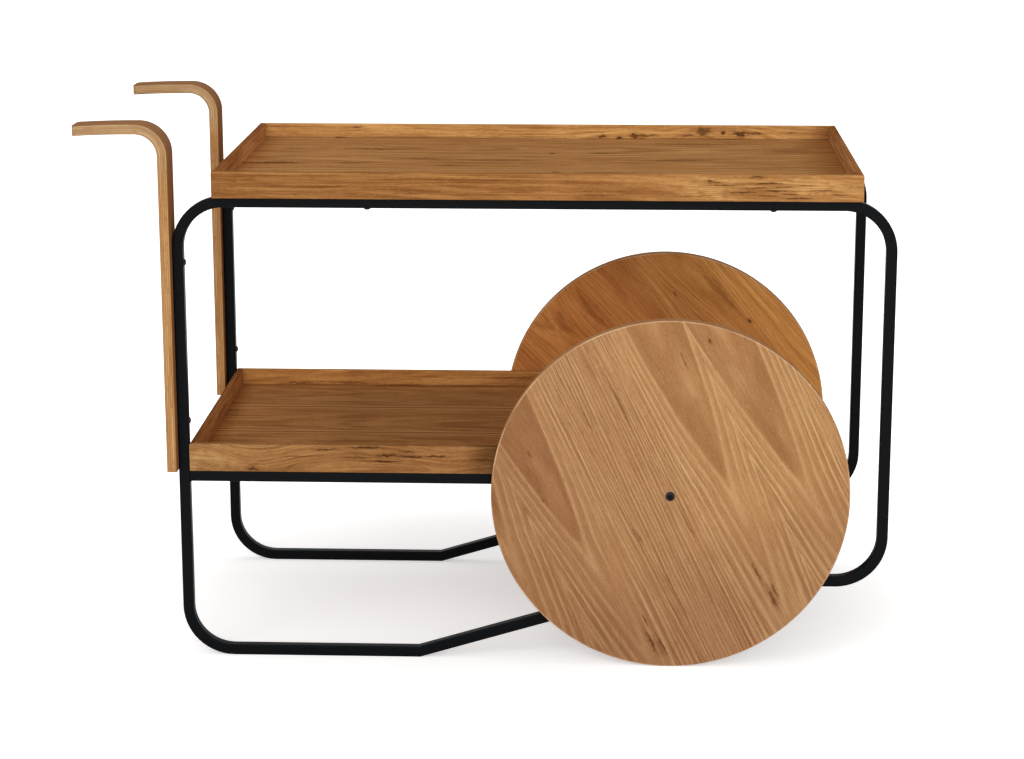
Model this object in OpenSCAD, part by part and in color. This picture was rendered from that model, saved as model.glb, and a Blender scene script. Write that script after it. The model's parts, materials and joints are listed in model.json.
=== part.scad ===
// Two-tier bar cart: a bent square-tube frame, two railed wooden trays,
// two large wooden disc wheels and two bent laminated push handles.
// Millimetres. +X runs from the handles to the wheels, +Z is up, and the
// origin is under the middle of the cart, on the floor.

/* [Frame] */
// Outer width of the square steel tube
tube_w = 16; // [14:0.5:18]
// Wall of the square tube
tube_wall = 1.5; // [1:0.1:2]
// Outer corner radius of the tube's section
tube_edge_r = 2; // [1.6:0.1:2.4]
// Length of a side hoop, outside to outside
frame_length = 1046; // [980:1:1110]
// Width of the frame, outside to outside
frame_width = 492; // [450:1:540]
// Height of the hoop's top face
frame_height = 696; // [660:1:740]
// Centreline radius of a hoop's four bends
bend_r = 68; // [60:1:75]
// Foot on the floor, from the leg's outer face to the mitred kink
foot_length = 355; // [320:1:390]
// Rise of the ramp tube above level, in degrees
ramp_angle = 16.7; // [15:0.1:19]
// Height of the underside of the raised tail run
tail_height = 118; // [105:1:130]

/* [Wheels] */
// Diameter of the wooden discs
wheel_d = 524; // [490:2:550]
// Thickness of a disc
wheel_t = 18; // [15:0.5:22]
// Rounding of a disc's two rims
wheel_edge_r = 1.5; // [0.5:0.1:3]
// Space between the frame's outer face and a disc
wheel_gap = 8; // [6:0.5:14]
// Axle centre to the outer face of the wheel-end legs
axle_setback = 321; // [310:1:340]
// Outer diameter of the axle tube
axle_d = 16; // [15:0.5:20]
// Wall of the axle tube
axle_wall = 1.5; // [1:0.1:1.8]
// Length of the threaded plug welded into each axle end
axle_plug_l = 28; // [20:1:40]
// Hub bolt's tip short of the plug's inner end
bolt_tip_gap = 3; // [1:0.5:8]
// Shank diameter of the hub bolt
hub_bolt_d = 8; // [6:0.5:8.5]
// Head diameter of the hub bolt
hub_head_d = 14; // [13.6:0.1:16]
// Head height of the hub bolt
hub_head_h = 4.4; // [3:0.1:5.5]
// Wall of the steel sleeve that the hub bolt clamps
sleeve_wall = 1.2; // [0.8:0.1:1.6]
// Wall of the plastic bush pressed into each disc
bush_wall = 3; // [2.2:0.1:4]
// Thickness of the washer between axle end and disc
washer_t = 1.5; // [1:0.1:2]
// Outer diameter of that washer
washer_d = 26; // [22:0.5:30]
// Radial running clearance of bush and washer on the sleeve
running_clearance = 0.05; // [0.02:0.01:0.09]
// Axial play of a wheel on each side
side_play = 0.3; // [0.2:0.05:0.6]

/* [Top tray] */
// Leg's outer face to the top tray's handle end
top_tray_start = 62; // [50:1:80]
// Length of the top tray
top_tray_length = 932; // [860:1:940]
// How far the top tray reaches past the frame on each side
top_tray_overhang = 15; // [10:0.5:30]
// Height of its rails
top_rail_h = 38; // [32:1:60]

/* [Lower tray] */
// Gap between the lower tray and the handle-end legs
tray_clearance = 0.5; // [0.3:0.1:2]
// Length of the lower tray
lower_tray_length = 900; // [860:1:930]
// Height of its rails
lower_rail_h = 41; // [34:1:60]

/* [Tray joinery] */
// Thickness of all rails
rail_t = 10; // [8:0.5:14]
// Rounding of the rails' top edges
rail_edge_r = 1.5; // [0.5:0.1:3]
// Thickness of the floor boards
board_t = 15; // [13:0.5:18]
// Width of the front floor board
front_board_w = 168; // [140:1:180]
// Width of the middle floor board
middle_board_w = 158; // [140:1:170]
// Chamfer along the boards' upper long edges
board_chamfer = 0.6; // [0.3:0.1:1.5]

/* [Cross tubes] */
// Leg's outer face to the first upper cross tube's centre
top_cross_start = 150; // [120:1:200]
// Leg's outer face to the second upper cross tube's centre
top_cross_end = 900; // [850:1:930]
// Leg's outer face to the first shelf cross tube's centre
shelf_cross_start = 90; // [60:1:140]
// Leg's outer face to the second shelf cross tube's centre
shelf_cross_end = 800; // [780:1:840]
// Lower tray's wheel end to the posts' centre
post_inset = 22; // [12:1:40]

/* [Handles] */
// How far a handle's tip reaches past the legs
handle_reach = 137; // [115:1:170]
// Thickness of the laminated strip
handle_t = 14.5; // [12:0.5:18]
// Width of the laminated strip
handle_w = 50; // [40:1:60]
// Height of the highest point of a handle
handle_top = 802; // [770:1:850]
// Handle's lower end above the shelf bars' top face
handle_foot_gap = 2; // [0:0.5:20]
// Inner radius of the handle's bend
handle_bend_r = 32; // [26:1:45]
// Radius of the grip's slight fall towards its tip
grip_fall_r = 1400; // [1000:50:3000]
// Rounding of the strip's long edges
handle_edge_r = 1.6; // [1:0.1:2.4]
// Rounding of the grip's two end corners, seen from above
grip_corner_r = 9; // [4:0.5:12]

/* [Fasteners] */
// Shank diameter of the dome-head screws
screw_d = 6; // [5:0.5:6.5]
// Diameter of the screws' clearance holes in the tubes, over the shank
screw_clearance = 0.4; // [0.2:0.1:0.8]
// Head diameter of the dome-head screws
screw_head_d = 10.5; // [10:0.5:11.5]
// Head height of the dome-head screws
screw_head_h = 3.3; // [2.5:0.1:4]
// Outer diameter of the threaded brass inserts
insert_d = 9; // [8:0.25:10]
// Length of the inserts
insert_l = 11; // [9:0.5:11.5]
// Height of the upper handle screws
upper_screw_z = 598; // [560:1:620]
// Height of the lower handle screws above the shelf bars' top face
lower_screw_rise = 75; // [60:1:100]
// Leg's outer face to the first top tray screw
tray_screw_start = 284; // [230:1:330]
// Leg's outer face to the second top tray screw
tray_screw_end = 868; // [820:1:880]
// Shelf tray screws to the cart's centre plane
shelf_screw_y = 160; // [120:1:180]
// Screw's tip short of the insert's inner end
screw_tip_gap = 1; // [0.5:0.5:3]
// Thickness of the shelf bar caps outside the bar
cap_t = 2; // [1:0.5:4]
// Length of a cap's plug inside the bar
cap_plug_l = 12; // [8:1:25]

/* [Hidden] */
$fn = 64;

// Colours
steel_black = [0.09, 0.09, 0.1];
tray_wood = [0.66, 0.42, 0.22];
board_wood = [0.58, 0.36, 0.18];
wheel_wood = [0.7, 0.5, 0.32];
handle_wood = [0.71, 0.52, 0.33];
bright_steel = [0.72, 0.73, 0.75];
brass = [0.72, 0.58, 0.28];
nylon = [0.85, 0.82, 0.74];

// Places along the cart, from the frame's two end faces
overall_length = frame_length + handle_reach;
leg_face_x = handle_reach - overall_length / 2;
tail_face_x = overall_length / 2;
half_w = frame_width / 2;
// Centre plane of the front hoop, and its inner face
hoop_y = -half_w + tube_w / 2;
inner_y = -half_w + tube_w;

// Kinks: the lower corners where the ramp meets the foot and the tail run
kink_x = leg_face_x + foot_length;
tail_kink_x = kink_x + tail_height / tan(ramp_angle);
mitre_angle = ramp_angle / 2;

// The axle carries the shelf bars, which carry the lower tray
axle_x = tail_face_x - axle_setback;
axle_z = wheel_d / 2;
shelf_z = axle_z + axle_d / 2;
shelf_top = shelf_z + tube_w;
lower_tray_x = leg_face_x + tube_w + tray_clearance;
lower_tray_end = lower_tray_x + lower_tray_length;
post_x = lower_tray_end - post_inset;

top_tray_x = leg_face_x + top_tray_start;
top_tray_width = frame_width + 2 * top_tray_overhang;
top_cross_z = frame_height - tube_w;

// Hub, measured outwards from the cart's centre plane
disc_inner_y = half_w + wheel_gap;
disc_outer_y = disc_inner_y + wheel_t;
axle_end_y = disc_inner_y - washer_t - side_play;
sleeve_length = washer_t + wheel_t + 2 * side_play;
sleeve_r = hub_bolt_d / 2 + running_clearance + sleeve_wall;
bush_bore_r = sleeve_r + running_clearance;
bush_r = bush_bore_r + bush_wall;

// Handle
handle_foot_z = shelf_top + handle_foot_gap;
handle_mid_r = handle_bend_r + handle_t / 2;
handle_mid_x = leg_face_x - handle_t / 2;
handle_bend_x = handle_mid_x - handle_mid_r;
handle_bend_z = handle_top - handle_bend_r - handle_t;
lower_screw_z = shelf_top + lower_screw_rise;

// Screws
screw_hole_r = (screw_d + screw_clearance) / 2;
screw_engagement = insert_l - screw_tip_gap;
// A dome head's socket width and straight rim, as shares of the head
socket_share = 0.55;
rim_share = 0.2;
// Small overlap used only to cut cleanly through faces
cut = 1;

// Sections

// Centred rectangle with true round corners
module rounded_rect(w, h, r) {
    square([w - 2 * r, h], center = true);
    square([w, h - 2 * r], center = true);
    for (x = [-1, 1], y = [-1, 1]) translate([x * (w / 2 - r), y * (h / 2 - r)]) circle(r);
}

// Outside of the square tube
module tube_outside() {
    rounded_rect(tube_w, tube_w, tube_edge_r);
}

// Bore of the square tube
module tube_bore() {
    bore_w = tube_w - 2 * tube_wall;
    square(bore_w, center = true);
}

// Paths in the XZ plane

// Straight run between two centreline points [x, z]; the child is its section
module run(from, to) {
    along = to - from;
    translate([from[0], 0, from[1]])
        rotate([0, atan2(along[0], along[1]), 0])
            linear_extrude(norm(along)) children();
}

// Bend about a centre [x, z], from the angle start above +X and through sweep
module bend(centre, r, start, sweep) {
    translate([centre[0], 0, centre[1]])
        rotate([90, 0, 0])
            rotate(start)
                rotate_extrude(angle = sweep) translate([r, 0]) children();
}

// Everything on the wheel side of the mitre plane through a lower corner
module beyond_mitre(corner_x, corner_z) {
    size = 4 * tube_w;
    translate([corner_x, 0, corner_z])
        rotate([0, -mitre_angle, 0])
            translate([0, -size / 2, -size / 2]) cube(size);
}

// Everything on the handle side of the mitre plane through a lower corner
module before_mitre(corner_x, corner_z) {
    size = 4 * tube_w;
    translate([corner_x, 0, corner_z])
        rotate([0, -mitre_angle, 0])
            translate([-size, -size / 2, -size / 2]) cube(size);
}

// Centreline of one hoop, from the kink round to the tail run
module hoop_path() {
    low = tube_w / 2;
    top = frame_height - tube_w / 2;
    left = leg_face_x + tube_w / 2;
    right = tail_face_x - tube_w / 2;
    tail = tail_height + tube_w / 2;
    run([kink_x, low], [left + bend_r, low]) children();
    bend([left + bend_r, low + bend_r], bend_r, 180, 90) children();
    run([left, low + bend_r], [left, top - bend_r]) children();
    bend([left + bend_r, top - bend_r], bend_r, 90, 90) children();
    run([left + bend_r, top], [right - bend_r, top]) children();
    bend([right - bend_r, top - bend_r], bend_r, 0, 90) children();
    run([right, top - bend_r], [right, tail + bend_r]) children();
    bend([right - bend_r, tail + bend_r], bend_r, 270, 90) children();
    run([right - bend_r, tail], [tail_kink_x - tube_w, tail]) children();
}

// Centreline of one ramp, longer than needed at both ends
module ramp_path() {
    extra = 2 * tube_w;
    across = tube_w / 2;
    dir = [cos(ramp_angle), sin(ramp_angle)];
    up = [-sin(ramp_angle), cos(ramp_angle)];
    run([kink_x, 0] + up * across - dir * extra,
        [tail_kink_x, tail_height] + up * across + dir * extra) children();
}

// Screw axes

// Positions of the two handle screws of one side, as heights
handle_screw_zs = [lower_screw_z, upper_screw_z];
// Positions of the top tray screws along the cart
tray_screw_xs = [leg_face_x + tray_screw_start, leg_face_x + tray_screw_end];
// Positions of the shelf cross tubes, which hold the lower tray's screws
shelf_cross_xs = [leg_face_x + shelf_cross_start, leg_face_x + shelf_cross_end];
top_cross_xs = [leg_face_x + top_cross_start, leg_face_x + top_cross_end];

// Children repeated at the mirrored place on the rear side
module both_sides() {
    children();
    mirror([0, 1, 0]) children();
}

// One screw hole through a tube of width tube_w, along +Z from the origin
module screw_hole() {
    translate([0, 0, -cut]) cylinder(r = screw_hole_r, h = tube_w + 2 * cut);
}

// Frame tubes

// Front side hoop: one bent tube, bored for the handle and tray screws
module hoop() {
    color(steel_black) difference() {
        translate([0, hoop_y, 0]) difference() {
            hoop_path() tube_outside();
            hoop_path() tube_bore();
            beyond_mitre(kink_x, 0);
            before_mitre(tail_kink_x, tail_height);
        }
        for (z = handle_screw_zs)
            translate([leg_face_x, hoop_y, z]) rotate([0, 90, 0]) screw_hole();
        for (x = tray_screw_xs)
            translate([x, hoop_y, frame_height - tube_w]) screw_hole();
    }
}

module hoop_front() { hoop(); }
module hoop_rear() { mirror([0, 1, 0]) hoop(); }

// Ramp between the foot and the tail run, mitred at both ends
module ramp_tube() {
    color(steel_black) translate([0, hoop_y, 0]) difference() {
        ramp_path() tube_outside();
        ramp_path() tube_bore();
        before_mitre(kink_x, 0);
        beyond_mitre(tail_kink_x, tail_height);
    }
}

module ramp_tube_front() { ramp_tube(); }
module ramp_tube_rear() { mirror([0, 1, 0]) ramp_tube(); }

// A straight length of square tube along the child's own +Z
module square_tube(length) {
    linear_extrude(length) difference() {
        tube_outside();
        tube_bore();
    }
}

// Bar that carries the lower tray, butt welded to the handle-end leg
module shelf_bar() {
    color(steel_black)
        translate([leg_face_x + tube_w, hoop_y, shelf_z + tube_w / 2])
            rotate([0, 90, 0]) square_tube(lower_tray_end - leg_face_x - tube_w);
}

module shelf_bar_front() { shelf_bar(); }
module shelf_bar_rear() { mirror([0, 1, 0]) shelf_bar(); }

// Post between the tail run and the shelf bar
module post() {
    foot = tail_height + tube_w;
    color(steel_black)
        translate([post_x, hoop_y, foot]) square_tube(shelf_z - foot);
}

module post_front() { post(); }
module post_rear() { mirror([0, 1, 0]) post(); }

// Cross tube between the two side hoops, at a given place and height
module cross_tube(x, z) {
    translate([x, inner_y, z + tube_w / 2])
        rotate([-90, 0, 0]) square_tube(-2 * inner_y);
}

module top_cross_tube_1() { color(steel_black) cross_tube(top_cross_xs[0], top_cross_z); }
module top_cross_tube_2() { color(steel_black) cross_tube(top_cross_xs[1], top_cross_z); }

// Cross tube at shelf level, bored for two tray screws
module shelf_cross_tube(x) {
    color(steel_black) difference() {
        cross_tube(x, shelf_z);
        for (y = [-shelf_screw_y, shelf_screw_y]) translate([x, y, shelf_z]) screw_hole();
    }
}

module shelf_cross_tube_1() { shelf_cross_tube(shelf_cross_xs[0]); }
module shelf_cross_tube_2() { shelf_cross_tube(shelf_cross_xs[1]); }

// Push-in caps in the shelf bars' open ends
module shelf_bar_caps() {
    bore_w = tube_w - 2 * tube_wall;
    color(steel_black) both_sides()
        translate([lower_tray_end, hoop_y, shelf_z + tube_w / 2]) rotate([0, 90, 0]) {
            linear_extrude(cap_t) tube_outside();
            translate([0, 0, -cap_plug_l]) linear_extrude(cap_plug_l) square(bore_w, center = true);
        }
}

// Axle and hubs

// Children turned so that +Z points to the front, along the axle from its centre
module along_axle() {
    translate([axle_x, 0, axle_z]) rotate([90, 0, 0]) children();
}

// Round tube welded across the underside of the shelf bars
module axle_tube() {
    color(steel_black) along_axle() difference() {
        translate([0, 0, -axle_end_y]) cylinder(d = axle_d, h = 2 * axle_end_y);
        translate([0, 0, -axle_end_y - cut])
            cylinder(d = axle_d - 2 * axle_wall, h = 2 * (axle_end_y + cut));
    }
}

// Threaded plugs in the axle's two ends
module axle_plugs() {
    color(bright_steel) both_sides() along_axle()
        translate([0, 0, axle_end_y - axle_plug_l]) difference() {
            cylinder(d = axle_d - 2 * axle_wall, h = axle_plug_l);
            translate([0, 0, -cut])
                cylinder(r = hub_bolt_d / 2 + running_clearance, h = axle_plug_l + 2 * cut);
        }
}

// Steel sleeves that the bolts clamp and the bushes turn on
module hub_sleeves() {
    color(bright_steel) both_sides() along_axle()
        translate([0, 0, axle_end_y]) difference() {
            cylinder(r = sleeve_r, h = sleeve_length);
            translate([0, 0, -cut])
                cylinder(r = hub_bolt_d / 2 + running_clearance, h = sleeve_length + 2 * cut);
        }
}

// Washers on the sleeves, between axle end and disc
module hub_washers() {
    color(nylon) both_sides() along_axle()
        translate([0, 0, axle_end_y]) difference() {
            cylinder(d = washer_d, h = washer_t);
            translate([0, 0, -cut]) cylinder(r = bush_bore_r, h = washer_t + 2 * cut);
        }
}

// Domed head with a hexagon socket, its seat at the origin, along +Z
module dome_head(d, h) {
    land = rim_share * h;
    rise = h - land;
    ball_r = (pow(d / 2, 2) + pow(rise, 2)) / (2 * rise);
    difference() {
        union() {
            cylinder(d = d, h = land);
            intersection() {
                translate([0, 0, h - ball_r]) sphere(ball_r);
                translate([0, 0, land]) cylinder(d = d, h = h);
            }
        }
        translate([0, 0, h / 2]) cylinder(d = socket_share * d, h = h, $fn = 6);
    }
}

// Button-head bolt through sleeve and plug
module hub_bolt() {
    grip = sleeve_length + axle_plug_l - bolt_tip_gap;
    color(steel_black) along_axle()
        translate([0, 0, axle_end_y + sleeve_length]) {
            dome_head(hub_head_d, hub_head_h);
            translate([0, 0, -grip]) cylinder(d = hub_bolt_d, h = grip);
        }
}

module hub_bolt_front() { hub_bolt(); }
module hub_bolt_rear() { mirror([0, 1, 0]) hub_bolt(); }

// Solid wooden disc with eased rims, bored for its bush
module wheel() {
    rim_r = wheel_d / 2;
    color(wheel_wood) along_axle() translate([0, 0, disc_inner_y])
        rotate_extrude($fn = 180) difference() {
            union() {
                square([rim_r - wheel_edge_r, wheel_t]);
                translate([0, wheel_edge_r]) square([rim_r, wheel_t - 2 * wheel_edge_r]);
                for (y = [wheel_edge_r, wheel_t - wheel_edge_r])
                    translate([rim_r - wheel_edge_r, y]) circle(wheel_edge_r);
            }
            translate([-cut, -cut]) square([bush_r + cut, wheel_t + 2 * cut]);
        }
}

module wheel_front() { wheel(); }
module wheel_rear() { mirror([0, 1, 0]) wheel(); }

// Plain bush pressed into the disc, flush with both faces
module bush() {
    color(nylon) along_axle() translate([0, 0, disc_inner_y]) difference() {
        cylinder(r = bush_r, h = wheel_t);
        translate([0, 0, -cut]) cylinder(r = bush_bore_r, h = wheel_t + 2 * cut);
    }
}

module bush_front() { bush(); }
module bush_rear() { mirror([0, 1, 0]) bush(); }

// Trays

// One mitred rail along +X from the origin, its outer face on y = 0
module rail(length, height) {
    intersection() {
        rotate([90, 0, 90]) linear_extrude(length) {
            square([rail_t, height - rail_edge_r]);
            translate([rail_edge_r, 0]) square([rail_t - 2 * rail_edge_r, height]);
            for (x = [rail_edge_r, rail_t - rail_edge_r])
                translate([x, height - rail_edge_r]) circle(rail_edge_r);
        }
        linear_extrude(height)
            polygon([[0, 0], [length, 0], [length - rail_t, rail_t], [rail_t, rail_t]]);
    }
}

// Rails of a tray whose handle end is at x, standing on the height z
module side_rail(x, z, length, width, height) {
    color(tray_wood) translate([x, -width / 2, z]) rail(length, height);
}

module handle_end_rail(x, z, width, height) {
    color(tray_wood) translate([x, width / 2, z]) rotate(-90) rail(width, height);
}

module wheel_end_rail(x, z, width, height) {
    color(tray_wood) translate([x, -width / 2, z]) rotate(90) rail(width, height);
}

// Floor board of a tray between two places across it, with eased upper edges
module floor_board(x, z, length, y0, y1) {
    c = board_chamfer;
    w = y1 - y0;
    translate([x + rail_t, y0, z])
        rotate([90, 0, 90]) linear_extrude(length - 2 * rail_t)
            polygon([[0, 0], [w, 0], [w, board_t - c], [w - c, board_t], [c, board_t], [0, board_t - c]]);
}

// The lines across a tray where its three boards start and end
function board_lines(width) = [
    -width / 2 + rail_t,
    -width / 2 + rail_t + front_board_w,
    -width / 2 + rail_t + front_board_w + middle_board_w,
    width / 2 - rail_t
];

// Pocket for one insert, up from the underside of a board
module insert_pocket() {
    translate([0, 0, -cut]) cylinder(d = insert_d, h = insert_l + cut);
}

module top_board(index) {
    lines = board_lines(top_tray_width);
    color(board_wood) difference() {
        floor_board(top_tray_x, frame_height, top_tray_length, lines[index], lines[index + 1]);
        for (x = tray_screw_xs, side = [-1, 1])
            translate([x, side * hoop_y, frame_height]) insert_pocket();
    }
}

module lower_board(index) {
    lines = board_lines(frame_width);
    color(board_wood) difference() {
        floor_board(lower_tray_x, shelf_top, lower_tray_length, lines[index], lines[index + 1]);
        for (x = shelf_cross_xs, side = [-1, 1])
            translate([x, side * shelf_screw_y, shelf_top]) insert_pocket();
    }
}

module top_board_front() { top_board(0); }
module top_board_middle() { top_board(1); }
module top_board_rear() { top_board(2); }
module lower_board_front() { lower_board(0); }
module lower_board_middle() { lower_board(1); }
module lower_board_rear() { lower_board(2); }

module top_rail_front() {
    side_rail(top_tray_x, frame_height, top_tray_length, top_tray_width, top_rail_h);
}
module top_rail_rear() { mirror([0, 1, 0]) top_rail_front(); }
module top_rail_handle_end() {
    handle_end_rail(top_tray_x, frame_height, top_tray_width, top_rail_h);
}
module top_rail_wheel_end() {
    wheel_end_rail(top_tray_x + top_tray_length, frame_height, top_tray_width, top_rail_h);
}
module lower_rail_front() {
    side_rail(lower_tray_x, shelf_top, lower_tray_length, frame_width, lower_rail_h);
}
module lower_rail_rear() { mirror([0, 1, 0]) lower_rail_front(); }
module lower_rail_handle_end() {
    handle_end_rail(lower_tray_x, shelf_top, frame_width, lower_rail_h);
}
module lower_rail_wheel_end() {
    wheel_end_rail(lower_tray_end, shelf_top, frame_width, lower_rail_h);
}

// Handles

// Bent strip: upright in the middle of the leg's face, bend, and a grip that falls slightly
module handle_strip() {
    grip_length = overall_length / 2 + handle_bend_x + handle_t;
    grip_mid_z = handle_top - handle_t / 2;
    fall_angle = asin(grip_length / grip_fall_r);
    run([handle_mid_x, handle_foot_z], [handle_mid_x, handle_bend_z]) children();
    bend([handle_bend_x, handle_bend_z], handle_mid_r, 0, 90) children();
    bend([handle_bend_x, grip_mid_z - grip_fall_r], grip_fall_r, 90, fall_angle, $fn = 720) children();
}

// Plan outline that rounds the grip's end corners
module handle_plan() {
    tip_x = -overall_length / 2;
    r = grip_corner_r;
    translate([tip_x + r, -handle_w / 2]) square([handle_reach - r + tube_w, handle_w]);
    translate([tip_x, -handle_w / 2 + r]) square([r + cut, handle_w - 2 * r]);
    for (y = [-1, 1]) translate([tip_x + r, y * (handle_w / 2 - r)]) circle(r);
}

// Laminated handle with the pockets for its inserts
module handle() {
    color(handle_wood) difference() {
        translate([0, hoop_y, 0]) intersection() {
            handle_strip() rounded_rect(handle_t, handle_w, handle_edge_r);
            linear_extrude(handle_top + handle_t) handle_plan();
        }
        for (z = handle_screw_zs)
            translate([leg_face_x, hoop_y, z]) rotate([0, -90, 0]) insert_pocket();
    }
}

module handle_front() { handle(); }
module handle_rear() { mirror([0, 1, 0]) handle(); }

// Fasteners

// Dome-head screw: head below the origin, shank up through a tube into an insert
module dome_screw() {
    rotate([180, 0, 0]) dome_head(screw_head_d, screw_head_h);
    cylinder(d = screw_d, h = tube_w + screw_engagement);
}

// Threaded insert, up from its face
module insert() {
    difference() {
        cylinder(d = insert_d, h = insert_l);
        translate([0, 0, -cut])
            cylinder(r = screw_d / 2 + running_clearance, h = insert_l + 2 * cut);
    }
}

module handle_screws() {
    color(steel_black) both_sides() for (z = handle_screw_zs)
        translate([leg_face_x + tube_w, hoop_y, z]) rotate([0, -90, 0]) dome_screw();
}

module handle_inserts() {
    color(brass) both_sides() for (z = handle_screw_zs)
        translate([leg_face_x, hoop_y, z]) rotate([0, -90, 0]) insert();
}

module top_tray_screws() {
    color(steel_black) both_sides() for (x = tray_screw_xs)
        translate([x, hoop_y, frame_height - tube_w]) dome_screw();
}

module top_tray_inserts() {
    color(brass) both_sides() for (x = tray_screw_xs)
        translate([x, hoop_y, frame_height]) insert();
}

module lower_tray_screws() {
    color(steel_black) both_sides() for (x = shelf_cross_xs)
        translate([x, -shelf_screw_y, shelf_z]) dome_screw();
}

module lower_tray_inserts() {
    color(brass) both_sides() for (x = shelf_cross_xs)
        translate([x, -shelf_screw_y, shelf_top]) insert();
}

hoop_front();
hoop_rear();
ramp_tube_front();
ramp_tube_rear();
shelf_bar_front();
shelf_bar_rear();
post_front();
post_rear();
top_cross_tube_1();
top_cross_tube_2();
shelf_cross_tube_1();
shelf_cross_tube_2();
axle_tube();
axle_plugs();
shelf_bar_caps();
wheel_front();
wheel_rear();
bush_front();
bush_rear();
hub_sleeves();
hub_washers();
hub_bolt_front();
hub_bolt_rear();
top_rail_front();
top_rail_rear();
top_rail_handle_end();
top_rail_wheel_end();
top_board_front();
top_board_middle();
top_board_rear();
lower_rail_front();
lower_rail_rear();
lower_rail_handle_end();
lower_rail_wheel_end();
lower_board_front();
lower_board_middle();
lower_board_rear();
handle_front();
handle_rear();
handle_screws();
handle_inserts();
top_tray_screws();
top_tray_inserts();
lower_tray_screws();
lower_tray_inserts();
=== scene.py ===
import json
import math

import bmesh
import bpy
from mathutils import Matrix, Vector


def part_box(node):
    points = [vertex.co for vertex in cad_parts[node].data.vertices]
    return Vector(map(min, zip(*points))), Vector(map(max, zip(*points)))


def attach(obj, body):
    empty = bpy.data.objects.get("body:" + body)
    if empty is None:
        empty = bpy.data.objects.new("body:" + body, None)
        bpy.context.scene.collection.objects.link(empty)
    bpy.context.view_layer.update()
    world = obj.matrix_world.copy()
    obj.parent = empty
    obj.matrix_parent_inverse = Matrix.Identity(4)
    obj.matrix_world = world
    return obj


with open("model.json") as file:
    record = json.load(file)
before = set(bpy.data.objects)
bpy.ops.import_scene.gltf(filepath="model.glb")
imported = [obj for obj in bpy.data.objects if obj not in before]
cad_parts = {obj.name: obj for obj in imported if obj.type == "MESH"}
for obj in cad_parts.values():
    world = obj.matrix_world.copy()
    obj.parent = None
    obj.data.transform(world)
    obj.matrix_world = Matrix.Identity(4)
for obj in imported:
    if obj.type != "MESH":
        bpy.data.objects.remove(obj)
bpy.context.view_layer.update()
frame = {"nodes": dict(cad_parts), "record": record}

# The looks of a two-tier bar cart: wood, powder coat, fasteners, weld beads, floor, light and camera.
# Lengths inside the finishes are millimetres, measured from a place that each finish names.

NODES = frame["nodes"]
MM = 0.001

# Sizes that the finishes share with the frame, in millimetres
HANDLE_T = 14.5
HANDLE_BEND_R = 32.0
GRIP_FALL_R = 1400.0
WHEEL_T = 18.0


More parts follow.
